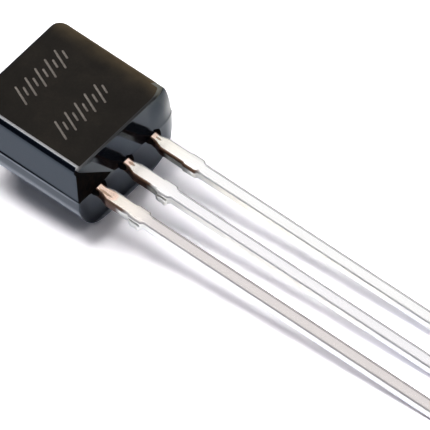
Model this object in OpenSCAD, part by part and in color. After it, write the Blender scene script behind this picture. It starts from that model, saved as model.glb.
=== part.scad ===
// TO-92 plastic transistor: an epoxy body moulded round a stamped lead frame,
// with the die, its attach layer and two bond wires inside. Millimetres.
// It lies as it comes to rest: flat face up, on the rim of its round back and its lead tips.

/* [Moulded body] */
// Width at the parting line
body_w = 4.52; // [4.3:0.01:4.8]
// Length at the parting line, along the leads
body_l = 4.52; // [4.3:0.01:5.2]
// Depth from the parting line up to the marked flat
front_d = 1.29; // [1.1:0.01:1.6]
// Draft of the two sides in front of the parting line, in degrees
side_draft = 7; // [2:0.5:10]
// How much the round back's radius exceeds half the width
back_bulge = 0.04; // [0:0.01:0.08]
// Draft of both end faces, front and back, in degrees
end_draft = 4.5; // [2:0.5:7]
// Rounding of the flat's long edges
flat_edge_r = 0.2; // [0.1:0.01:0.3]
// Width of the rounding along the flat's two short edges
flat_end_r = 0.1; // [0.05:0.01:0.2]
// Corner radius at the closed end, seen from the flat
top_corner_r = 0.4; // [0.3:0.01:0.6]
// Width of the eased stretch at each side of the lead-end face
ease_w = 0.4; // [0.2:0.01:0.6]
// Radius of that easing
ease_r = 0.9; // [0.7:0.01:1.5]
// How far the mould flash stands out along the parting line
flash_out = 0.03; // [0.01:0.01:0.06]
// Thickness of the mould flash
flash_t = 0.06; // [0.04:0.01:0.1]
// How far the flash runs out between the leads
web_out = 0.1; // [0.05:0.01:0.2]

/* [Leads] */
// Distance between neighbouring leads
pitch = 1.27; // [1.22:0.01:1.32]
// Length of the leads outside the body
lead_l = 14; // [12:0.1:16]
// Width of the leads
lead_w = 0.4; // [0.36:0.01:0.46]
// Thickness of the lead-frame strip
lead_t = 0.38; // [0.3:0.01:0.5]
// Width where a lead leaves the body
neck_w = 0.31; // [0.25:0.01:0.35]
// Length of that neck
neck_l = 0.3; // [0.1:0.01:0.5]
// Width of the shoulder behind the trimmed dam bar
shoulder_w = 0.48; // [0.47:0.01:0.54]
// Length of the taper from neck to shoulder
taper_l = 0.25; // [0.1:0.01:0.4]
// Distance from the body to the trimmed dam bar
dam_x = 1.45; // [1.2:0.01:1.8]
// Length of the dam-bar stubs along the lead
dam_l = 0.5; // [0.3:0.01:0.7]
// Width across the dam-bar stubs
dam_w = 0.56; // [0.55:0.01:0.64]
// Depth of the strip's upper face below the parting line
frame_drop = 0.03; // [0.02:0.01:0.1]
// Sideways seat of the lead frame in the body
frame_shift = -0.09; // [-0.1:0.01:0.1]

/* [Inside the body] */
// Distance from the lead-end face to the die paddle
paddle_x = 1.3; // [1.1:0.01:1.5]
// Length of the die paddle
paddle_l = 1.9; // [1.7:0.01:2.2]
// Width of the die paddle
paddle_w = 1.9; // [1.7:0.01:2]
// Gap between the paddle and a bond post
post_gap = 0.2; // [0.15:0.01:0.25]
// Width of a bond post
post_w = 0.6; // [0.5:0.01:0.65]
// Distance from the lead-end face to the bond posts
post_x = 0.45; // [0.3:0.01:0.6]
// Length of a bond post
post_l = 1.7; // [1.4:0.01:2]
// Diameter of the holes that lock the frame in the epoxy
lock_d = 0.3; // [0.2:0.01:0.4]
// Side of the square die
die_w = 0.6; // [0.4:0.01:0.8]
// Thickness of the die
die_t = 0.22; // [0.15:0.01:0.3]
// Thickness of the die-attach layer
attach_t = 0.03; // [0.02:0.01:0.06]
// How far the attach layer spreads beyond the die
attach_out = 0.06; // [0.03:0.01:0.12]
// Diameter of the bond wires
wire_d = 0.04; // [0.03:0.01:0.05]
// Height of a wire loop above the straight line between its ends
loop_h = 0.4; // [0.25:0.01:0.5]
// Diameter of the ball bonds and stitch pads
ball_d = 0.12; // [0.1:0.01:0.16]

/* [Hidden] */
$fn = 48;
EDGE_SLICES = 6;   // slices through the rounding of the flat's edges
SKIN = 0.002;      // thickness of one slice
WIRE_SIDES = 8;
WIRE_RINGS = 14;
LOOP_LEAN = 0.6;   // under 1 puts the top of a wire loop nearer the die
BALL_SINK = 0.25;  // share of a wire's diameter that its end dips into its bond
BEYOND = 1;        // how far cutting profiles reach past the body

back_r = body_w / 2 + back_bulge;
dam_taper = (dam_w - lead_w) / 2;
post_in = paddle_w / 2 + post_gap;
post_mid = post_in + post_w / 2;
paddle_mid = -(paddle_x + paddle_l / 2);
die_top = attach_t + die_t;
bond_t = wire_d;

// Lowest points: the rim of the round back at the lead end, and the lead tips
rim_x = -back_r * tan(end_draft);
rest_tilt = atan2(back_r - lead_t - frame_drop, lead_l - rim_x);
rim_height = rim_x * sin(rest_tilt) + back_r * cos(rest_tilt);

// Reach along the bench, for the origin under the middle of the whole part
reach_out = lead_l * cos(rest_tilt) - frame_drop * sin(rest_tilt);
reach_in = -(body_l + rim_x) * cos(rest_tilt) - back_r * sin(rest_tilt);

// From the body's own frame (leads along +X, parting line at Z = 0) to its rest on the bench
module at_rest()
    translate([-(reach_out + reach_in) / 2, 0, rim_height])
        rotate([0, rest_tilt, 0]) children();

// The stamped strip's place in the body; its upper face is at Z = 0 here
module in_frame() translate([0, frame_shift, -frame_drop]) children();

// Rectangle from x0 to x1 with rounded corners at both ends
module rounded_plan(x0, x1, w, r0, r1) {
    translate([x0 + r0, -w / 2]) square([x1 - x0 - r0 - r1, w]);
    translate([x0, -w / 2 + r0]) square([r0, w - 2 * r0]);
    translate([x1 - r1, -w / 2 + r1]) square([r1, w - 2 * r1]);
    for (s = [-1, 1]) {
        translate([x0 + r0, s * (w / 2 - r0)]) circle(r0);
        translate([x1 - r1, s * (w / 2 - r1)]) circle(r1);
    }
}

// Outline seen from the flat, drawn in by in_x at the ends and in_y at the sides
module body_plan(in_x = 0, in_y = 0, corner_r = top_corner_r) {
    x0 = -body_l + in_x;
    w = body_w - 2 * in_y;
    intersection() {
        rounded_plan(x0, BEYOND, w, corner_r, corner_r);
        rounded_plan(x0 - BEYOND, -in_x, w + 2 * (ease_r - ease_w), ease_r, ease_r);
    }
}

module slice(z, in_x, in_y, corner_r)
    translate([0, 0, z - SKIN]) linear_extrude(SKIN) body_plan(in_x, in_y, corner_r);

// Drafted block in front of the parting line, with the flat's edges rounded
module front_half()
    hull() {
        slice(SKIN, 0, 0, top_corner_r);
        for (i = [0 : EDGE_SLICES]) {
            a = 90 * i / EDGE_SLICES;
            z = front_d - flat_edge_r * (1 - sin(a));
            in_x = z * tan(end_draft) + flat_end_r * (1 - cos(a));
            in_y = z * tan(side_draft) + flat_edge_r * (1 - cos(a));
            slice(z, in_x, in_y, top_corner_r - flat_edge_r * (1 - cos(a)));
        }
    }

// Half-round back, narrowed towards its crown by the draft of the end faces
module back_half() {
    depth = back_r + BEYOND;
    draw_in = depth * tan(end_draft);
    intersection() {
        rotate([0, -90, 0]) cylinder(r = back_r, h = body_l);
        translate([0, 0, -depth]) linear_extrude(depth) body_plan();
        rotate([90, 0, 0]) linear_extrude(body_w + 2 * BEYOND, center = true)
            polygon([[0, 0], [-body_l, 0], [-body_l + draw_in, -depth], [-draw_in, -depth]]);
    }
}

// Thin skin of epoxy squeezed out along the parting line, and further between the leads
module flash()
    translate([0, 0, -flash_t / 2]) linear_extrude(flash_t) {
        body_plan(-flash_out, -flash_out);
        translate([-BEYOND, frame_shift - pitch]) square([BEYOND + web_out, 2 * pitch]);
    }

// Outline of a lead from its root in the body: neck, shoulder, dam-bar stubs and blade
module blade_plan(root) {
    half = [[-root, neck_w], [neck_l, neck_w], [neck_l + taper_l, shoulder_w],
            [dam_x, shoulder_w], [dam_x + dam_taper / 2, dam_w], [dam_x + dam_l, dam_w],
            [dam_x + dam_l + dam_taper, lead_w], [lead_l, lead_w]];
    last = len(half) - 1;
    polygon([for (p = half) [p.x, p.y / 2],
             for (i = [last : -1 : 0]) [half[i].x, -half[i].y / 2]]);
}

// A stamping of the strip's thickness, upper face at Z = 0
module strip() translate([0, 0, -lead_t]) linear_extrude(lead_t) children();

module lock_hole(x, y)
    translate([x, y, -lead_t - BEYOND]) cylinder(d = lock_d, h = lead_t + 2 * BEYOND);

// Outer lead on the side given by s, with its bond post inside the body
module outer_lead(s)
    difference() {
        union() {
            strip() translate([0, s * pitch]) blade_plan(post_x + post_l / 4);
            strip() translate([-post_x - post_l / 2, s * post_mid])
                square([post_l, post_w], center = true);
        }
        lock_hole(-post_x - lock_d, s * post_mid);
    }

// Middle lead, with the die paddle inside the body
module middle_lead()
    difference() {
        union() {
            strip() blade_plan(paddle_x + paddle_l / 4);
            strip() translate([paddle_mid, 0]) square([paddle_l, paddle_w], center = true);
        }
        lock_hole(-paddle_x - paddle_l + lock_d, 0);
    }

module attach_layer() {
    w = die_w + 2 * attach_out;
    translate([paddle_mid - w / 2, -w / 2, 0]) cube([w, w, attach_t]);
}

module die_chip() translate([paddle_mid - die_w / 2, -die_w / 2, attach_t]) cube([die_w, die_w, die_t]);

// Centre of a bond wire at s from 0, on the die, to 1, on the post
function loop_point(side, s) =
    let (from = [paddle_mid, side * die_w / 4, die_top + bond_t * (1 - BALL_SINK)],
         to = [-post_x - post_l / 2, side * post_mid, bond_t * (1 - BALL_SINK)])
    from + s * (to - from) + [0, 0, loop_h * sin(180 * pow(s, LOOP_LEAN))];

function unit(v) = v / norm(v);

// One ring of the wire, square to its path
function loop_ring(side, i) =
    let (s = i / (WIRE_RINGS - 1), d = 0.5 / WIRE_RINGS,
         run = loop_point(side, 1) - loop_point(side, 0),
         across = unit([-run.y, run.x, 0]),
         ahead = unit(loop_point(side, min(1, s + d)) - loop_point(side, max(0, s - d))),
         up = cross(ahead, across))
    [for (k = [0 : WIRE_SIDES - 1])
        let (a = 360 * k / WIRE_SIDES)
        loop_point(side, s) + wire_d / 2 * (cos(a) * across + sin(a) * up)];

module bond_wire(side) {
    rings = [for (i = [0 : WIRE_RINGS - 1]) each loop_ring(side, i)];
    last = (WIRE_RINGS - 1) * WIRE_SIDES;
    polyhedron(rings, [
        [for (k = [0 : WIRE_SIDES - 1]) k],
        for (i = [0 : WIRE_RINGS - 2], k = [0 : WIRE_SIDES - 1])
            let (a = i * WIRE_SIDES + k, b = i * WIRE_SIDES + (k + 1) % WIRE_SIDES)
            [a, a + WIRE_SIDES, b + WIRE_SIDES, b],
        [for (k = [WIRE_SIDES - 1 : -1 : 0]) last + k]]);
    translate([paddle_mid, side * die_w / 4, die_top]) cylinder(d = ball_d, h = bond_t);
    translate([-post_x - post_l / 2, side * post_mid, 0]) cylinder(d = ball_d, h = bond_t);
}

module emitter_lead() color("#cfcac5") at_rest() in_frame() outer_lead(-1);
module collector_lead() color("#cfcac5") at_rest() in_frame() middle_lead();
module base_lead() color("#cfcac5") at_rest() in_frame() outer_lead(1);
module die_attach() color("#8d8f92") at_rest() in_frame() attach_layer();
module die() color("#5b6270") at_rest() in_frame() die_chip();
module emitter_wire() color("#d9a441") at_rest() in_frame() bond_wire(-1);
module base_wire() color("#d9a441") at_rest() in_frame() bond_wire(1);

// The epoxy is moulded round the frame, so it fits it with no clearance
module epoxy_body() color("#2b2724") at_rest() difference() {
    union() {
        front_half();
        back_half();
        flash();
    }
    in_frame() {
        outer_lead(-1);
        middle_lead();
        outer_lead(1);
        attach_layer();
        die_chip();
        bond_wire(-1);
        bond_wire(1);
    }
}

epoxy_body();
emitter_lead();
collector_lead();
base_lead();
die_attach();
die();
emitter_wire();
base_wire();
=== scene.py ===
"""TO-92 transistor lying flat face up on a white bench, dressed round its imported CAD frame."""
import math

import bmesh
import bpy
from mathutils import Matrix, Vector


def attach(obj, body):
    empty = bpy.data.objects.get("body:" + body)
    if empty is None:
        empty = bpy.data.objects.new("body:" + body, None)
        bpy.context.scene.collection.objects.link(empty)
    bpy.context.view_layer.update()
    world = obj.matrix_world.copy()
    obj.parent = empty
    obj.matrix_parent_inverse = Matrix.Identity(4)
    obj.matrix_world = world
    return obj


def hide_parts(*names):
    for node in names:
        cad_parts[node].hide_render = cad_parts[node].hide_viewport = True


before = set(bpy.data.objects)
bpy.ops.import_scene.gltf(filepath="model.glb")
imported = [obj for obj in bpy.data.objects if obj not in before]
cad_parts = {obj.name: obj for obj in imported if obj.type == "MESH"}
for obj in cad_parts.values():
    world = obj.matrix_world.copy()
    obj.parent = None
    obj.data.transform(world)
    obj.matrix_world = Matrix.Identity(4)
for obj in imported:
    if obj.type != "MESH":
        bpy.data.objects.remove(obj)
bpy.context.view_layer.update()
MM = 0.001

# ---------------------------------------------------------------- sizes, in millimetres
# The part's own frame: leads along +X from the lead-end face, parting line at Z = 0, flat up.
BODY_W = 4.52
BODY_L = 4.52
FRONT_D = 1.29
BACK_R = BODY_W / 2 + 0.04
SIDE_DRAFT = math.tan(math.radians(7))
END_DRAFT = math.tan(math.radians(4.5))
FLAT_EDGE_R = 0.2
FLAT_END_R = 0.1
NEAR_EDGE_R = 0.055
TOP_CORNER_R = 0.4
RIM_R = 0.035
# Lead-end face: bulge at the parting line, tuck at the crown of the back, swell and easing at the base
# side. EASE_FLARE is how much wider the easing is at the flat than at the parting line.
END_BULGE = 0.1
END_TUCK = 0.28
END_SWELL = 0.08
SWELL_Y = 1.1
SWELL_W = 0.8
EASE_W = 0.54
EASE_FLARE = -0.04
EASE_R = 1.0
# Mould flash along the parting line: heights of its rings, and how far each stands out at the closed end.
FLASH_T = 0.06
FLASH_OUT = 0.03
FLASH_RINGS = ((0.028, 0.018), (0.018, FLASH_OUT), (-0.018, FLASH_OUT), (-0.028, 0.018))
# Mesh steps of the flat's rounding, the front block and the back.
ROUND_STEPS = 8
SIDE_STEPS = 12
BACK_STEPS = 44
# Where the finishes of the flat's rounding meet, and the two edges of the painted dark patch, a painted dark
# reflection (Y at Z = 0, slope).
ROUNDING_SPLIT_Y = 1.8
WORN_HIGHLIGHT_STEPS = 2
END_REACH = 1.3 * FLAT_END_R
CORNER_REACH = 0.35
DARK_PATCH_TOP = (-0.63, -1.19)
DARK_PATCH_FOOT = (-1.28, 5.3)
# Resin tongues beside the necks: plan (X, distance from the lead's middle), top and foot under the frame.
BLEED_PLAN = ((-0.05, 0.12), (0.24, 0.15), (0.26, 0.19), (0.20, 0.24), (0.10, 0.29), (-0.05, 0.32))
BLEED_TOP = 0.012
BLEED_FOOT = 0.16
# Etched hatching: each row is (X, first Y, last Y).
STROKE_W = 0.07
STROKE_END_STEPS = 6
ETCH_H = 0.8
ETCH_SHORT = 0.45
ETCH_STEP = 0.24
ETCH_LEAN = 0.42
ETCH_UP = 0.004
ETCH_IN = 0.01
ETCH_ROWS = ((-3.3, -0.95, 1.1), (-1.5, -1.2, 0.85))
# Lead frame: blades, trimmed dam-bar stubs, bond posts and die paddle.
PITCH = 1.27
LEAD_L = 14.0
LEAD_W = 0.4
LEAD_T = 0.38
LEAD_EDGE_R = 0.06
NECK_W = 0.31
NECK_L = 0.3
SHOULDER_W = 0.48
TAPER_L = 0.25
DAM_X = 1.45
DAM_L = 0.5
DAM_W = 0.56
PADDLE_X = 1.3
PADDLE_L = 1.9
PADDLE_W = 1.9
POST_IN = PADDLE_W / 2 + 0.2
POST_W = 0.6
POST_X = 0.45
POST_L = 1.7
LOCK_D = 0.3
LOCK_STEPS = 32
FRAME_DROP = 0.03
FRAME_SHIFT = -0.09
# Rise of the leads where they enter the body, and burrs hanging from the stubs (height by lead place).
LEAD_RISE = 0.075
RISE_L = 0.64
RISE_STEPS = 12
BURR_T = 0.05
BURR_H = {0: 0.13, -1: 0.07}
BURR_TOP = 0.12
BURR_STEPS = 16
# Points closer than this are merged.
WELD = 1e-5

# ---------------------------------------------------------------- from the part's frame to the bench
RIM_X = -BACK_R * END_DRAFT
TILT = math.atan2(BACK_R - LEAD_T - FRAME_DROP, LEAD_L - RIM_X)
REACH_OUT = LEAD_L * math.cos(TILT) - FRAME_DROP * math.sin(TILT)
REACH_IN = -(BODY_L + RIM_X) * math.cos(TILT) - BACK_R * math.sin(TILT)
RIM_HEIGHT = RIM_X * math.sin(TILT) + BACK_R * math.cos(TILT)
AT_REST = (
    Matrix.Translation((-(REACH_OUT + REACH_IN) / 2 * MM, 0, RIM_HEIGHT * MM))
    @ Matrix.Rotation(TILT, 4, "Y")
    @ Matrix.Scale(MM, 4)
)
IN_FRAME = AT_REST @ Matrix.Translation((0, FRAME_SHIFT, -FRAME_DROP))
TO_PART = AT_REST.inverted()

# ---------------------------------------------------------------- finishes
# Places of the finishes among the body's materials and among a lead's.
# The worn edge finish carries a painted highlight, and the bleed finish also colours the painted dark patch
# on the lead-end face.
GLOSS, MATTE, WORN_HIGHLIGHT, BLEED_AND_DARK_PATCH, END = range(5)
TOP, SIDE, EDGE = range(3)
SIDE_TONE = (1.0, 0.96, 0.87)
NECK_TONE = (0.84, 0.79, 0.75)
COPPER = (0.10, 0.05, 0.03)
# On a lead: where the creamy tin ends, the width of the shade along the top's +Y edge, where copper on
# both sides ends, and the height of the copper line along a side's top edge.
CREAM_END = 2.2
RIM_SHADE_W = 0.085
NECK_COPPER_X = 0.25
COPPER_LINE_H = 0.09
# Each lead: place in the row, tone of its tin, bare spot and blush on its top (X, Y, half length, half
# width), and how far bare copper runs along its -Y side (over the whole depth, then along the top edge).
LEAD_LOOKS = {
    # The emitter's darker tin tone is a painted darker reflection on its top.
    "emitter": (-1, (0.70, 0.65, 0.635), (0.42, -0.06, 0.24, 0.045), (0.42, 0.0, 0.42, 0.24), (0.95, 1.2)),
    "collector": (0, (0.87, 0.85, 0.86), (0.32, 0.02, 0.12, 0.05), (0.20, 0.0, 0.14, 0.2), (1.1, 1.2)),
    "base": (1, (0.91, 0.9, 0.89), (0.32, 0.0, 0.10, 0.04), (0.16, 0.0, 0.10, 0.2), (0.7, 1.95)),
}


class Nodes:
    """A new node material, with short ways to add nodes to it."""

    def __init__(self, name):
        self.material = bpy.data.materials.new(name)
        self.material.use_nodes = True
        self.tree = self.material.node_tree
        self.bsdf = self.tree.nodes["Principled BSDF"]

    def add(self, kind, **values):
        """A shader node, with values for its input sockets or its own settings."""
        node = self.tree.nodes.new("ShaderNode" + kind)
        for key, value in values.items():
            if key in node.inputs:
                node.inputs[key].default_value = value
            else:
                setattr(node, key, value)
        return node

    def feed(self, socket, value):
        """Give an input socket a node's output, a number or a colour; None leaves it alone."""
        if isinstance(value, (int, float)):
            socket.default_value = value
        elif isinstance(value, tuple):
            socket.default_value = (*value, 1)
        elif value is not None:
            self.tree.links.new(value, socket)

    def surface(self, name, value):
        """Set one input of the surface shader."""
        self.feed(self.bsdf.inputs[name], value)

    def place(self, stretch=(1, 1, 1)):
        """Millimetres in the part's own frame, stretched along its axes."""
        coords = self.add("TexCoord")
        turned = self.add("Mapping")
        turned.inputs["Location"].default_value = TO_PART.translation
        turned.inputs["Rotation"].default_value = (0, -TILT, 0)
        turned.inputs["Scale"].default_value = (1 / MM,) * 3
        self.feed(turned.inputs["Vector"], coords.outputs["Object"])
        if stretch == (1, 1, 1):
            return turned.outputs["Vector"]
        drawn = self.add("Mapping")
        drawn.inputs["Scale"].default_value = stretch
        self.feed(drawn.inputs["Vector"], turned.outputs["Vector"])
        return drawn.outputs["Vector"]

    def axes(self):
        """X, Y and Z in the part's own frame, in millimetres."""
        split = self.add("SeparateXYZ")
        self.feed(split.inputs[0], self.place())
        return split.outputs["X"], split.outputs["Y"], split.outputs["Z"]

    def between(self, value, low, high, soft):
        """1 from low to high, fading to 0 over the given softness outside them."""
        rise = self.math("MULTIPLY", self.math("SUBTRACT", value, low - soft), 1 / soft, clamp=True)
        fall = self.math("MULTIPLY", self.math("SUBTRACT", high + soft, value), 1 / soft, clamp=True)
        return self.math("MULTIPLY", rise, fall)

    def noise(self, vector, scale, detail=3.0, roughness=0.55):
        """Noise from 0 to 1, with about scale bumps to a millimetre."""
        node = self.add("TexNoise", Scale=scale, Detail=detail, Roughness=roughness)
        self.feed(node.inputs["Vector"], vector)
        return node.outputs["Fac"]

    def ramp(self, fac, stops):
        """Colour ramp over fac; each stop is (place, colour)."""
        node = self.add("ValToRGB")
        while len(node.color_ramp.elements) < len(stops):
            node.color_ramp.elements.new(0.5)
        for element, (at, colour) in zip(node.color_ramp.elements, stops):
            element.position = at
            element.color = (*colour, 1)
        self.feed(node.inputs["Fac"], fac)
        return node.outputs["Color"]

    def math(self, operation, a, b, clamp=False):
        """One sum on two sockets or numbers."""
        node = self.add("Math", operation=operation, use_clamp=clamp)
        self.feed(node.inputs[0], a)
        self.feed(node.inputs[1], b)
        return node.outputs[0]

    def mix(self, fac, a, b):
        """Colour a, turning to b as fac goes from 0 to 1."""
        node = self.add("Mix", data_type="RGBA")
        self.feed(node.inputs[0], fac)
        self.feed(node.inputs[6], a)
        self.feed(node.inputs[7], b)
        return node.outputs[2]

    def bump(self, height, strength, distance):
        """Relief of the surface, its depth in millimetres."""
        node = self.add("Bump", Strength=strength, Distance=distance * MM)
        self.feed(node.inputs["Height"], height)
        self.surface("Normal", node.outputs["Normal"])


def scaled(colour, share):
    """A colour times one share, or times three."""
    shares = share if isinstance(share, tuple) else (share,) * 3
    return tuple(a * b for a, b in zip(colour, shares))


def gloss_epoxy(name, ior):
    """Moulded sides, ends and back: near-black epoxy with the polish of the mould."""
    m = Nodes(name)
    place = m.place()
    cloud = m.noise(place, 1.6, 4)
    m.surface("Base Color", m.ramp(cloud, [(0.3, (0.0014, 0.002, 0.004)), (0.7, (0.0026, 0.0036, 0.0064))]))
    fine = m.noise(place, 9.0, 3)
    m.surface("Roughness", m.ramp(fine, [(0.3, (0.05,) * 3), (0.75, (0.11,) * 3)]))
    m.surface("IOR", ior)
    m.surface("Specular Tint", (0.72, 0.86, 1.0))
    m.bump(m.noise(place, 26.0, 2), 0.04, 0.006)
    return m.material


def matte_epoxy():
    """The marked flat: the same epoxy with a fine spark-eroded grain, and a painted brown sheen at the base
    side.
    """
    m = Nodes("matte_epoxy")
    place = m.place()
    cloud = m.noise(place, 0.9, 5, 0.6)
    grain = m.noise(place, 16.0, 2)
    mottle = m.math("ADD", m.math("MULTIPLY", cloud, 0.7), m.math("MULTIPLY", grain, 0.3))
    dark = m.ramp(mottle, [(0.35, (0.006, 0.0045, 0.003)), (0.5, (0.009, 0.007, 0.005)),
                           (0.68, (0.015, 0.0115, 0.008))])
    y = m.axes()[1]
    # Painted warm sheen, growing towards the base-side edge of the flat.
    near_edge = m.math("ADD", y, m.math("MULTIPLY", m.noise(place, 1.3, 2), 0.5))
    painted_sheen = m.math("POWER", m.math("MULTIPLY", m.math("SUBTRACT", near_edge, 1.5), 1.0, clamp=True), 2.6)
    m.surface("Base Color", m.mix(painted_sheen, dark, (0.17, 0.122, 0.066)))
    m.surface("Roughness", 0.62)
    m.surface("Specular IOR Level", 0.12)
    m.bump(m.noise(place, 30.0, 3), 0.35, 0.006)
    return m.material


def worn_highlight_epoxy():
    """The flat's worn edge with a painted highlight: light grey at the emitter side, dark at the lead end,
    and a painted highlight at the base corner.
    """
    m = Nodes("worn_highlight_epoxy")
    x, y, _ = m.axes()
    scuff = m.noise(m.place(), 7.0, 3)
    # Painted highlight along the edge: light grey at the emitter side, dark in the middle, light again at the
    # base corner.
    along = m.math("ADD", m.math("MULTIPLY", y, 0.22), m.math("MULTIPLY", scuff, 0.12))
    bright = m.ramp(m.math("ADD", along, 0.45),
                    [(0.0, (0.46, 0.45, 0.46)), (0.12, (0.2, 0.2, 0.205)), (0.38, (0.036, 0.036, 0.038)),
                     (0.84, (0.014, 0.014, 0.015)), (0.93, (0.15, 0.15, 0.125))])
    at_end = m.math("MULTIPLY", m.between(x, -FRONT_D * END_DRAFT - NEAR_EDGE_R, 1, 0.04),
                    m.between(y, -3, 1.4, 0.3))
    m.surface("Base Color", m.mix(m.math("MULTIPLY", at_end, 0.7), bright, (0.018, 0.018, 0.019)))
    m.surface("Roughness", 0.35)
    m.surface("IOR", 1.38)
    m.bump(m.noise(m.place(), 20.0, 2), 0.1, 0.004)
    return m.material


def bleed_and_dark_patch_epoxy():
    """Thin resin bleed on the leads, and the painted dark patch on the lead-end face: dull black, brown where
    the copper shows through.
    """
    m = Nodes("bleed_and_dark_patch_epoxy")
    film = m.noise(m.place(), 6.0, 3)
    m.surface("Base Color", m.ramp(film, [(0.4, (0.001, 0.001, 0.0012)), (0.8, (0.010, 0.005, 0.003))]))
    m.surface("Roughness", 0.7)
    m.surface("Specular IOR Level", 0.03)
    return m.material


def bare_patch(m, x, y, patch, ragged):
    """1 inside a patch (X, Y, half length, half width), fading out over a ragged edge."""
    middle_x, middle_y, half_x, half_y = patch
    dx = m.math("MULTIPLY", m.math("SUBTRACT", x, middle_x), 1 / half_x)
    dy = m.math("MULTIPLY", m.math("SUBTRACT", y, middle_y), 1 / half_y)
    far = m.math("ADD", m.math("MULTIPLY", dx, dx), m.math("MULTIPLY", dy, dy))
    inside = m.math("ADD", m.math("SUBTRACT", 1.3, far), ragged)
    return m.math("MULTIPLY", inside, 1.6, clamp=True)


def tin_face(name, middle, tone, spot, blush):
    """Top of a lead with its middle at Y = middle: tin, creamy near the body and bare in two patches."""
    m = Nodes(name)
    x, y, _ = m.axes()
    place = m.place()
    streak = m.noise(m.place((0.35, 5.0, 5.0)), 2.0, 3)
    ragged = m.math("MULTIPLY", m.math("SUBTRACT", m.noise(place, 5.0, 3), 0.5), 1.4)
    aside = m.math("SUBTRACT", y, middle)
    neck = tuple(max(a, b) for a, b in zip(tone, NECK_TONE))
    cream = m.math("MULTIPLY", m.math("SUBTRACT", CREAM_END, x), 0.55, clamp=True)
    colour = m.ramp(streak, [(0.3, scaled(tone, 0.95)), (0.7, tone)])
    colour = m.mix(m.between(x, -1.0, 1.5, 0.8), colour, neck)
    colour = m.mix(m.math("MULTIPLY", cream, 0.8), colour, scaled(neck, (1.0, 0.95, 0.84)))
    for patch, share, bare in ((blush, 0.6, (0.95, 0.62, 0.48)), (spot, 0.75, (0.30, 0.19, 0.12))):
        inside = bare_patch(m, x, aside, patch, ragged)
        colour = m.mix(m.math("MULTIPLY", inside, share), colour, bare)
    # Painted shade along the top's +Y edge, from beyond the dam-bar stub to the tip.
    rim = m.math("MULTIPLY", m.between(aside, LEAD_W / 2 - RIM_SHADE_W, LEAD_W, 0.02),
                 m.between(x, DAM_X + DAM_L + 0.2, LEAD_L + 1, 0.1))
    m.surface("Base Color", m.mix(rim, colour, scaled(tone, 0.55)))
    m.surface("Metallic", 1.0)
    m.surface("Roughness", m.ramp(streak, [(0.3, (0.2,) * 3), (0.7, (0.28,) * 3)]))
    m.bump(m.noise(place, 12.0, 3), 0.06, 0.008)
    return m.material


def tin_side(name, middle, tone, bare, metallic):
    """Sheared side or rounded edge of a lead: satin tin, with bare copper near the body.

    The copper covers both sides at the neck, and runs on along the -Y side alone: over the whole depth
    as far as X = bare[0], and along the top edge as far as X = bare[1].
    """
    m = Nodes(name)
    x, y, z = m.axes()
    tin = m.ramp(m.noise(m.place((0.5, 1, 3)), 3.0, 3), [(0.3, scaled(tone, 0.9)), (0.7, tone)])
    depth = m.math("SUBTRACT", -FRAME_DROP, z)
    top_line = m.math("MULTIPLY", m.between(depth, -0.2, COPPER_LINE_H, 0.03),
                      m.between(x, 0.0, bare[1], 0.2))
    side = m.math("MAXIMUM", top_line, m.between(x, 0.0, bare[0], 0.2))
    side = m.math("MULTIPLY", side, m.between(y, middle - 1, middle, 0.05))
    copper = m.math("MAXIMUM", side, m.between(x, -1.0, NECK_COPPER_X, 0.12))
    m.surface("Base Color", m.mix(copper, tin, COPPER))
    m.surface("Metallic", metallic)
    m.surface("Roughness", 0.4)
    m.bump(m.noise(m.place((1, 1, 0.3)), 16.0, 3), 0.15, 0.008)
    return m.material


def tin_looks(name):
    """Finishes of one lead, in the order TOP, SIDE, EDGE."""
    place, tone, spot, blush, bare = LEAD_LOOKS[name]
    middle = FRAME_SHIFT + place * PITCH
    return [tin_face("tin_" + name, middle, tone, spot, blush),
            tin_side("side_" + name, middle, SIDE_TONE, bare, 1.0),
            # The rounded edges take the tin darkened to two thirds: painted shade for the grey lines along a
            # lead's edges.
            tin_side("edge_" + name, middle, scaled(tone, 0.66), bare, 0.25)]


def laser_mark():
    """Epoxy burnt pale grey by the laser."""
    m = Nodes("laser_mark")
    burn = m.noise(m.place(), 14.0, 3)
    m.surface("Base Color", m.ramp(burn, [(0.3, (0.17, 0.15, 0.13)), (0.7, (0.27, 0.24, 0.215))]))
    m.surface("Roughness", 0.8)
    m.surface("Specular IOR Level", 0.2)
    return m.material


def inner_metal(name, low, high, roughness, metallic=1.0):
    """Finish of a piece sealed in the epoxy."""
    m = Nodes(name)
    m.surface("Base Color", m.ramp(m.noise(m.place(), 8.0, 3), [(0.35, low), (0.65, high)]))
    m.surface("Roughness", roughness)
    m.surface("Metallic", metallic)
    return m.material


# ---------------------------------------------------------------- mesh helpers
def piece(name, bm, matrix, materials):
    """A new object from a bmesh in the part's own frame, placed on the bench."""
    mesh = bpy.data.meshes.new(name)
    bm.transform(matrix)
    bm.normal_update()
    bm.to_mesh(mesh)
    bm.free()
    for material in materials:
        mesh.materials.append(material)
    mesh.shade_smooth()
    obj = bpy.data.objects.new(name, mesh)
    bpy.context.scene.collection.objects.link(obj)
    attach(obj, "root")
    return obj


def weighted_normals(obj):
    """Keep the large faces looking flat beside their rounded edges."""
    mod = obj.modifiers.new("weighted", "WEIGHTED_NORMAL")
    mod.mode = "FACE_AREA"
    mod.keep_sharp = True


def wall(bm, upper, lower):
    """Quads between two closed rings of as many points."""
    faces = []
    for i in range(len(upper)):
        j = (i + 1) % len(upper)
        faces.append(bm.faces.new((upper[i], lower[i], lower[j], upper[j])))
    return faces


def slab(bm, top, low):
    """A closed solid between two outlines of as many points."""
    top = [bm.verts.new(p) for p in top]
    low = [bm.verts.new(p) for p in low]
    return [bm.faces.new(top), bm.faces.new(low[::-1])] + wall(bm, top, low)


def round_setback(d, r):
    """Setback of a quarter round of radius r at distance d inside the edge."""
    return r - math.sqrt(max(0.0, r * r - (r - d) ** 2)) if d < r else 0.0


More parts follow.
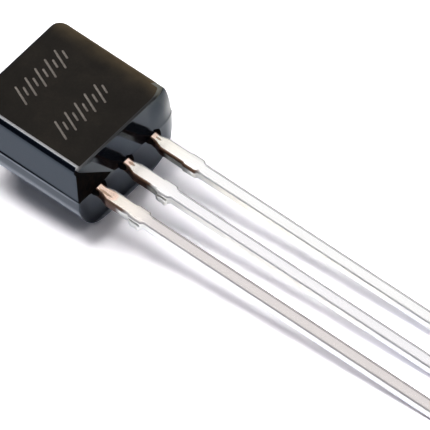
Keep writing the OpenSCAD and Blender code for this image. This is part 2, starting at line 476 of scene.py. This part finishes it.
# ---------------------------------------------------------------- the epoxy body
class Level:
    """One height through the body: half width, plan half width, far-end inset, corner radius, flash."""

    def __init__(self, z, w, plan_w, in_x, corner_r, grow=0.0):
        self.z, self.w, self.plan_w, self.in_x = z, w, plan_w, in_x
        self.corner_r, self.grow = corner_r, grow

    def rim(self, y):
        """Setback of the small rounding where an end face meets the sides and the back."""
        d = self.w - abs(y)
        if self.z < 0:
            d = min(d, BACK_R - math.hypot(y, self.z))
        return round_setback(max(d, 0.0), RIM_R)

    def swell(self, y):
        """How far the front block's end swells between the base lead and its eased corner."""
        t = self.z / FRONT_D
        aside = min(1.0, max(0.0, (y - SWELL_Y) / SWELL_W))
        peak = 27 / 4 * t * t * (1 - t)  # 1 at two thirds of the height
        return END_SWELL * peak * aside * aside * (3 - 2 * aside)

    def near(self, y):
        """Lead-end face: fullest near the parting line, eased towards the base lead's side."""
        past = y - (self.plan_w - EASE_W - EASE_FLARE * max(0.0, self.z) / FRONT_D)
        ease = EASE_R - math.sqrt(EASE_R ** 2 - past ** 2) if past > 0 else 0.0
        if self.z >= 0:
            bulge = END_BULGE * (1 - self.z / FRONT_D) - self.z * END_DRAFT + self.swell(y)
        else:
            bulge = END_BULGE - END_TUCK * (-self.z / BACK_R) ** 5
        return bulge - round_setback(FRONT_D - self.z, NEAR_EDGE_R) - ease - self.rim(y)

    def far(self, y):
        """Closed end."""
        past = abs(y) - (self.plan_w - self.corner_r)
        r = self.corner_r
        corner = r - math.sqrt(max(0.0, r * r - past * past)) if past > 0 else 0.0
        return -BODY_L + self.in_x + corner + 0.5 * self.rim(y) - self.grow


def rounding_levels():
    """Heights through the rounded edge of the flat, from the top down."""
    for i in range(ROUND_STEPS, -1, -1):
        a = math.pi / 2 * i / ROUND_STEPS
        z = FRONT_D - FLAT_EDGE_R * (1 - math.sin(a))
        turn = 1 - math.cos(a)
        w = BODY_W / 2 - z * SIDE_DRAFT - FLAT_EDGE_R * turn
        yield Level(z, w, w, z * END_DRAFT + FLAT_END_R * turn, TOP_CORNER_R - FLAT_EDGE_R * turn)


def side_levels():
    """Heights down the drafted front block, to just above the flash."""
    top, lowest = FRONT_D - FLAT_EDGE_R, FLASH_T / 2
    for i in range(1, SIDE_STEPS + 1):
        z = top + (lowest - top) * i / SIDE_STEPS
        w = BODY_W / 2 - z * SIDE_DRAFT
        yield Level(z, w, w, z * END_DRAFT, TOP_CORNER_R)


def back_levels():
    """Heights down the round back, from just under the flash to its crown."""
    start = math.asin(FLASH_T / 2 / BACK_R)
    w = BODY_W / 2
    for i in range(BACK_STEPS + 1):
        a = start + (math.pi / 2 - start) * i / BACK_STEPS
        z = -BACK_R * math.sin(a)
        yield Level(z, min(w, BACK_R * math.cos(a)), w, -z * END_DRAFT, TOP_CORNER_R)


def body_levels():
    """Heights from the flat down to the crown of the back."""
    w = BODY_W / 2
    flash = [Level(z, w, w, 0.0, TOP_CORNER_R, grow) for z, grow in FLASH_RINGS]
    return [*rounding_levels(), *side_levels(), *flash, *back_levels()]


def edge_fractions(distances):
    """Places across a face, from -1 to 1, given by their distances from its edges."""
    half = BODY_W / 2
    s = sorted({round(1 - d / half, 5) for d in distances})
    return sorted([-x for x in s if x > 0] + s)


# Places of the mesh lines across the lead-end face and the closed end, and along the sides.
NEAR_AT = edge_fractions([0, 0.003, 0.01, 0.02, 0.032, 0.045, 0.08, 0.13, 0.18, 0.23, 0.28, 0.34,
                          0.4] + [0.45 + 0.07 * i for i in range(18)] + [1.9, 2.26])
FAR_AT = edge_fractions([TOP_CORNER_R * (1 - math.cos(math.radians(10 * i))) for i in range(10)]
                        + [0.55, 0.8, 1.2, 1.7, 2.26])
ALONG_AT = [0.02, 0.06, 0.15, 0.3, 0.5, 0.7, 0.85, 0.94, 0.98]


def body_ring(level):
    """The body's outline at one level, from the emitter side of the lead-end face round."""
    near = [Vector((level.near(level.w * s), level.w * s, level.z)) for s in NEAR_AT]
    far = [Vector((level.far(level.w * s), (level.w + level.grow) * s, level.z)) for s in reversed(FAR_AT)]
    side = [near[-1].lerp(far[0], k) for k in ALONG_AT]
    other = [far[-1].lerp(near[0], k) for k in reversed([1 - k for k in ALONG_AT])]
    return near + side + far + other


def rounding_finish(at, step):
    """Finish of a face of the flat's rounded edge, from its middle and its step down from the flat."""
    corner = CORNER_REACH if at.y > ROUNDING_SPLIT_Y else 0
    if at.x > -FRONT_D * END_DRAFT - END_REACH - corner:
        return WORN_HIGHLIGHT if at.z > FRONT_D - NEAR_EDGE_R else END
    if at.y > ROUNDING_SPLIT_Y:
        return MATTE
    return WORN_HIGHLIGHT if at.y < -ROUNDING_SPLIT_Y and step < WORN_HIGHLIGHT_STEPS else GLOSS


def painted_dark_patch(bm):
    """Painted dark reflection: a dead black patch on the lead-end face, beside the emitter lead and above the
    parting line.
    """
    for y, slope in (DARK_PATCH_TOP, DARK_PATCH_FOOT):
        faces = [f for f in bm.faces if f.material_index == END]
        edges = dict.fromkeys(e for f in faces for e in f.edges)
        verts = dict.fromkeys(v for f in faces for v in f.verts)
        bmesh.ops.bisect_plane(bm, geom=[*faces, *edges, *verts], plane_co=(0, y, 0), plane_no=(0, 1, -slope))
    for face in bm.faces:
        at = face.calc_center_median()
        reach = min(y + slope * at.z for y, slope in (DARK_PATCH_TOP, DARK_PATCH_FOOT))
        if face.material_index == END and at.z > 0 and at.y < reach:
            face.material_index = BLEED_AND_DARK_PATCH


def resin_bleed(bm, y, side):
    """A thin tongue of resin beside a lead's neck, from the end face out to the shoulder."""
    plan = [Vector((x, y + side * w, lead_rise(x) - FRAME_DROP)) for x, w in BLEED_PLAN]
    up = Vector((0, 0, 1))
    for face in slab(bm, [p - BLEED_TOP * up for p in plan], [p - BLEED_FOOT * up for p in plan]):
        face.material_index = BLEED_AND_DARK_PATCH


def epoxy_body():
    """The moulded body, ring by ring from the flat to the crown of the back."""
    bm = bmesh.new()
    rings = [[bm.verts.new(p) for p in body_ring(level)] for level in body_levels()]
    bm.faces.new(rings[0]).material_index = MATTE
    for step, (upper, lower) in enumerate(zip(rings, rings[1:])):
        for i, face in enumerate(wall(bm, upper, lower)):
            if step < ROUND_STEPS:
                face.material_index = rounding_finish(face.calc_center_median(), step)
            elif i < len(NEAR_AT) - 1:
                face.material_index = END
    painted_dark_patch(bm)
    for k in (-1, 0, 1):
        for side in (-1, 1):
            resin_bleed(bm, FRAME_SHIFT + k * PITCH, side)
    bmesh.ops.remove_doubles(bm, verts=bm.verts, dist=WELD)
    bmesh.ops.recalc_face_normals(bm, faces=bm.faces)
    finishes = [gloss_epoxy("gloss_epoxy", 1.54), matte_epoxy(), worn_highlight_epoxy(), bleed_and_dark_patch_epoxy(),
                gloss_epoxy("end_epoxy", 1.42)]
    obj = piece("moulded_body", bm, AT_REST, finishes)
    weighted_normals(obj)
    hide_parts("epoxy_body")


def etch_stroke(bm, x, y, length):
    """A round-ended stroke across the flat, its middle at x and y, leaning along Y."""
    direction = Vector((-1, ETCH_LEAN, 0)).normalized()
    across = Vector((direction.y, -direction.x, 0))
    middle = Vector((x, y, FRONT_D))
    outline = []
    for end in (-1, 1):
        for i in range(STROKE_END_STEPS + 1):
            a = math.pi * (i / STROKE_END_STEPS - 0.5)
            outline.append(middle + direction * (end * (length / 2 + STROKE_W / 2 * math.cos(a)))
                           + across * (end * STROKE_W / 2 * math.sin(a)))
    slab(bm, [p + Vector((0, 0, ETCH_UP)) for p in outline], [p - Vector((0, 0, ETCH_IN)) for p in outline])


def etch_marks():
    """Two rows of plain laser hatching, long and short strokes by turns: no lettering."""
    bm = bmesh.new()
    for row_x, first_y, last_y in ETCH_ROWS:
        count = round((last_y - first_y) / ETCH_STEP) + 1
        for k in range(count):
            y = first_y + (last_y - first_y) * k / (count - 1)
            length = ETCH_H * (ETCH_SHORT if k % 2 else 1.0)
            etch_stroke(bm, row_x, y, length - STROKE_W)
    bmesh.ops.recalc_face_normals(bm, faces=bm.faces)
    piece("etch_marks", bm, AT_REST, [laser_mark()])


# ---------------------------------------------------------------- the leads
def lead_rise(x):
    """Height a lead gains where it curves up into the body, fading out again inside it."""
    reach = RISE_L if x > 0 else RISE_L / 2
    return LEAD_RISE * max(0.0, 1 - abs(x) / reach) ** 2


def blade_widths(root):
    """Places along a blade and its width there, from its root inside the body to the tip."""
    taper = (DAM_W - LEAD_W) / 2
    return [(-root, NECK_W), (NECK_L, NECK_W), (NECK_L + TAPER_L, SHOULDER_W), (DAM_X, SHOULDER_W),
            (DAM_X + taper / 2, DAM_W), (DAM_X + DAM_L, DAM_W), (DAM_X + DAM_L + taper, LEAD_W),
            (LEAD_L, LEAD_W)]


def lead_outline(y, x0, x1, y0, y1):
    """Blade along +X at y, joined to an inner pad from x0 to x1 and y0 to y1 (x0 is the far end)."""
    widths = blade_widths(-x1)
    right = [(x, y + w / 2) for x, w in widths]
    left = [(x, y - w / 2) for x, w in widths]
    return right + left[::-1] + [(x1, y0), (x0, y0), (x0, y1), (x1, y1)]


def lock_hole(x, y):
    """Outline of a round lock hole."""
    turns = (math.tau * k / LOCK_STEPS for k in range(LOCK_STEPS))
    return [(x + LOCK_D / 2 * math.cos(a), y - LOCK_D / 2 * math.sin(a)) for a in turns]


def stamping(name, outlines):
    """A flat plate under Z = 0, cut to the outlines, its edges softened by the tin."""
    curve = bpy.data.curves.new(name, "CURVE")
    curve.dimensions = "2D"
    curve.fill_mode = "BOTH"
    curve.extrude = (LEAD_T / 2 - LEAD_EDGE_R) * MM
    curve.bevel_depth = LEAD_EDGE_R * MM
    curve.bevel_resolution = 2
    curve.offset = -LEAD_EDGE_R * MM
    for points in outlines:
        spline = curve.splines.new("POLY")
        spline.points.add(len(points) - 1)
        for point, (px, py) in zip(spline.points, points):
            point.co = (px * MM, py * MM, 0, 1)
        spline.use_cyclic_u = True
    made = bpy.data.objects.new(name + "_outline", curve)
    bpy.context.scene.collection.objects.link(made)
    bpy.context.view_layer.update()
    mesh = bpy.data.meshes.new_from_object(made.evaluated_get(bpy.context.evaluated_depsgraph_get()))
    bpy.data.objects.remove(made)
    bm = bmesh.new()
    bm.from_mesh(mesh)
    bm.transform(Matrix.Scale(1 / MM, 4) @ Matrix.Translation((0, 0, -LEAD_T / 2 * MM)))
    bmesh.ops.remove_doubles(bm, verts=bm.verts, dist=WELD)
    return bm


def raise_root(bm):
    """Curve a lead up where it enters the body."""
    for k in range(1 - RISE_STEPS // 2, RISE_STEPS + 1):
        cut = Vector((RISE_L * k / RISE_STEPS, 0, 0))
        bmesh.ops.bisect_plane(bm, geom=bm.verts[:] + bm.edges[:] + bm.faces[:], plane_co=cut,
                               plane_no=(1, 0, 0), dist=WELD / 10)
    for vert in bm.verts:
        vert.co.z += lead_rise(vert.co.x)


def shear_burr(bm, y, height):
    """Crumpled lip on the -Y side of a dam-bar stub, left where the press sheared the bar."""
    rings = []
    for i in range(BURR_STEPS + 1):
        t = i / BURR_STEPS
        x = DAM_X + DAM_L * (0.1 + 0.9 * t)
        swell = math.sin(math.pi * t) ** 0.5
        out = -BURR_T * swell * (0.7 + 0.3 * math.sin(9 * t))
        low = -LEAD_T - height * swell * (0.45 + 0.55 * t)
        ring = ((x, y + BURR_T, -BURR_TOP), (x, y + out / 2, -BURR_TOP),
                (x, y + out, low + 0.02), (x, y + BURR_T / 2, low + 0.03))
        rings.append([bm.verts.new(p) for p in ring])
    bm.faces.new(rings[0])
    bm.faces.new(rings[-1][::-1])
    for a, b in zip(rings, rings[1:]):
        wall(bm, a, b)


def lead(name, place, pad, hole, materials):
    """A lead at its place in the row: pad is its inner end (x0, x1, y0, y1), hole its lock hole's middle."""
    y = place * PITCH
    bm = stamping(name, (lead_outline(y, *pad), lock_hole(*hole)))
    raise_root(bm)
    if place in BURR_H:
        shear_burr(bm, y - DAM_W / 2, BURR_H[place])
    bmesh.ops.recalc_face_normals(bm, faces=bm.faces)
    for face in bm.faces:
        upright = abs(face.normal.z)
        face.material_index = TOP if upright > 0.98 else SIDE if upright < 0.2 else EDGE
    obj = piece(name, bm, IN_FRAME, materials)
    weighted_normals(obj)
    return obj


def leads():
    """The outer leads with their bond posts, and the middle one with the die paddle."""
    looks = {name: tin_looks(name) for name in LEAD_LOOKS}
    for name, node, k, finishes in (("lead_emitter", "emitter_lead", -1, looks["emitter"]),
                                    ("lead_base", "base_lead", 1, looks["base"])):
        y0, y1 = sorted((k * POST_IN, k * (POST_IN + POST_W)))
        obj = lead(name, k, (-POST_X - POST_L, -POST_X, y0, y1), (-POST_X - LOCK_D, (y0 + y1) / 2), finishes)
        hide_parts(node)
    obj = lead("lead_collector", 0, (-PADDLE_X - PADDLE_L, -PADDLE_X, -PADDLE_W / 2, PADDLE_W / 2),
               (-PADDLE_X - PADDLE_L + LOCK_D, 0), looks["collector"])
    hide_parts("collector_lead")


# ---------------------------------------------------------------- camera, stage and lamps
# The camera, fitted to the photo: its place and turn, and half the width of its view at the target.
CAMERA_TARGET = Vector((-1.882, 0.6935, 0.6995)) * MM
CAMERA_RIGHT = Vector((0.75314, 0.64573, -0.12575))
CAMERA_UP = Vector((-0.41575, 0.61532, 0.66973))
CAMERA_DISTANCE = 0.4
HALF_VIEW = 6.52 * MM
# Bench colours: to the camera, as it bounces light, and in reflections (open, in the painted shadow, in the
# painted glow).
BENCH_HALF = 2.0
BENCH_SEEN = (1.78, 1.72, 1.77)
BENCH_PLAIN = (0.86, 0.86, 0.87)
BENCH_MIRRORED = (1.33, 1.39, 1.55)
BENCH_SHADOW = (0.1, 0.105, 0.12)
BENCH_GLOW = (2.2, 2.18, 2.12)
# In millimetres of the part's frame: the painted shadow's ends and sides, and where the two painted glows
# begin.
SHADOW_START = 0.2
SHADOW_FADE = 0.35
SHADOW_Y = (-2.5, 1.0)
GLOW_Y = 2.2
LANE_X = 1.9
LANE_HALF = 0.9
# Panels over the bench: name, reach along X and along Y in shares of BOX_HEIGHT, radiance.
# The first set shows in reflections alone, and the second lights surfaces alone.
BOX_HEIGHT = 0.35
SEEN_PANELS = (
    ("key", (-0.36, 0.24), (-0.30, 0.12), 7.6),
    ("key_core", (-0.42, -0.18), (-0.22, 0.05), 10.0),
    ("key_apron", (-0.75, 0.65), (-0.42, 0.12), 0.6),
    ("back", (-0.95, 0.50), (0.25, 1.00), 1.08),
)
LAMP_PANELS = (
    ("strip_middle", (-0.08, 0.08), (-0.245, 0.055), 20.0),
    ("strip_left", (-0.95, -0.22), (-0.265, -0.045), 10.0),
    ("strip_inner", (-0.40, -0.08), (-0.39, 0.01), 3.8),
    ("strip_right", (0.50, 0.85), (-0.38, 0.08), 6.0),
    ("strip_back", (-0.10, 0.10), (0.15, 0.95), 3.8),
    ("strip_near", (-0.60, 0.50), (-1.00, -0.50), 0.35),
)
ROOM_COLOUR = (0.6, 0.8, 1.2, 1)
ROOM_STRENGTH = 0.025


def camera():
    """The photo's view."""
    data = bpy.data.cameras.new("camera")
    data.sensor_width = 36
    data.lens = data.sensor_width / 2 * CAMERA_DISTANCE / HALF_VIEW
    data.clip_start, data.clip_end = 0.05, 5
    cam = bpy.data.objects.new("camera", data)
    toward = CAMERA_RIGHT.cross(CAMERA_UP).normalized()
    up = toward.cross(CAMERA_RIGHT).normalized()
    turn = Matrix((CAMERA_RIGHT.normalized(), up, toward)).transposed().to_4x4()
    cam.matrix_world = Matrix.Translation(CAMERA_TARGET + toward * CAMERA_DISTANCE) @ turn
    bpy.context.scene.collection.objects.link(cam)
    bpy.context.scene.camera = cam


def softbox(name, x, y, level, mirrored):
    """A panel over the bench, which shows in reflections if mirrored and lights surfaces if not."""
    data = bpy.data.lights.new(name, "AREA")
    data.shape = "RECTANGLE"
    data.size, data.size_y = ((b - a) * BOX_HEIGHT for a, b in (x, y))
    data.energy = level * math.pi * data.size * data.size_y
    obj = bpy.data.objects.new(name, data)
    obj.location = (sum(x) / 2 * BOX_HEIGHT, sum(y) / 2 * BOX_HEIGHT, BOX_HEIGHT)
    obj.visible_glossy = mirrored
    obj.visible_diffuse = not mirrored
    bpy.context.scene.collection.objects.link(obj)


def bench_white():
    """White to the camera. Reflections see a painted shadow close under the lead end, and two painted glows.

    One glow lies beyond the base lead, the other under the leads from LANE_X on.
    """
    m = Nodes("bench_white")
    x, y, _ = m.axes()
    # Painted shadow in reflections, close under the lead end.
    painted_shadow = m.math("SUBTRACT", 1, m.math("MULTIPLY", m.math("SUBTRACT", x, SHADOW_FADE), 0.9, clamp=True))
    painted_shadow = m.math("MULTIPLY", painted_shadow, m.between(x, SHADOW_START, 9, 0.1))
    painted_shadow = m.math("MULTIPLY", painted_shadow, m.between(y, *SHADOW_Y, 1.6))
    mirrored = m.mix(m.math("MULTIPLY", painted_shadow, 0.78), BENCH_MIRRORED, BENCH_SHADOW)
    # Painted glows in reflections: beyond the base lead, and under the leads.
    beyond = m.math("MULTIPLY", m.math("SUBTRACT", y, GLOW_Y), 0.5, clamp=True)
    lane = m.math("MULTIPLY", m.between(x, LANE_X, 9, 0.5), m.between(y, -LANE_HALF, LANE_HALF, 0.5))
    glow = m.math("MAXIMUM", beyond, m.math("MULTIPLY", lane, 0.7))
    mirrored = m.mix(glow, mirrored, BENCH_GLOW)
    path = m.add("LightPath")
    unseen = m.mix(path.outputs["Is Glossy Ray"], BENCH_PLAIN, mirrored)
    m.surface("Base Color", m.mix(path.outputs["Is Camera Ray"], unseen, BENCH_SEEN))
    m.surface("Roughness", 1.0)
    m.surface("Specular IOR Level", 0.0)
    return m.material


def bench():
    """A wide plane under the part."""
    bm = bmesh.new()
    corners = ((-1, -1), (1, -1), (1, 1), (-1, 1))
    bm.faces.new([bm.verts.new((x * BENCH_HALF, y * BENCH_HALF, 0)) for x, y in corners])
    mesh = bpy.data.meshes.new("bench")
    bm.to_mesh(mesh)
    bm.free()
    mesh.materials.append(bench_white())
    obj = bpy.data.objects.new("bench", mesh)
    bpy.context.scene.collection.objects.link(obj)


def stage():
    """Bench, room light and panels."""
    bench()
    world = bpy.data.worlds.new("room")
    bpy.context.scene.world = world
    world.use_nodes = True
    room = world.node_tree.nodes["Background"]
    room.inputs["Color"].default_value = ROOM_COLOUR
    room.inputs["Strength"].default_value = ROOM_STRENGTH
    for panels, mirrored in ((SEEN_PANELS, True), (LAMP_PANELS, False)):
        for name, x, y, level in panels:
            softbox(name, x, y, level, mirrored)


def inner_pieces():
    """Finishes of the CAD nodes that the epoxy hides."""
    finishes = {
        "die": inner_metal("silicon", (0.24, 0.26, 0.32), (0.34, 0.36, 0.42), 0.2, 0.6),
        "die_attach": inner_metal("silver_epoxy", (0.5, 0.5, 0.5), (0.66, 0.66, 0.65), 0.55),
        "emitter_wire": inner_metal("gold", (0.86, 0.6, 0.22), (0.98, 0.76, 0.36), 0.25),
    }
    finishes["base_wire"] = finishes["emitter_wire"]
    for node, material in finishes.items():
        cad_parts[node].data.materials.clear()
        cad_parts[node].data.materials.append(material)


# ---------------------------------------------------------------- build
camera()
stage()
epoxy_body()
etch_marks()
leads()
inner_pieces()
bpy.context.scene.view_settings.view_transform = "Standard"
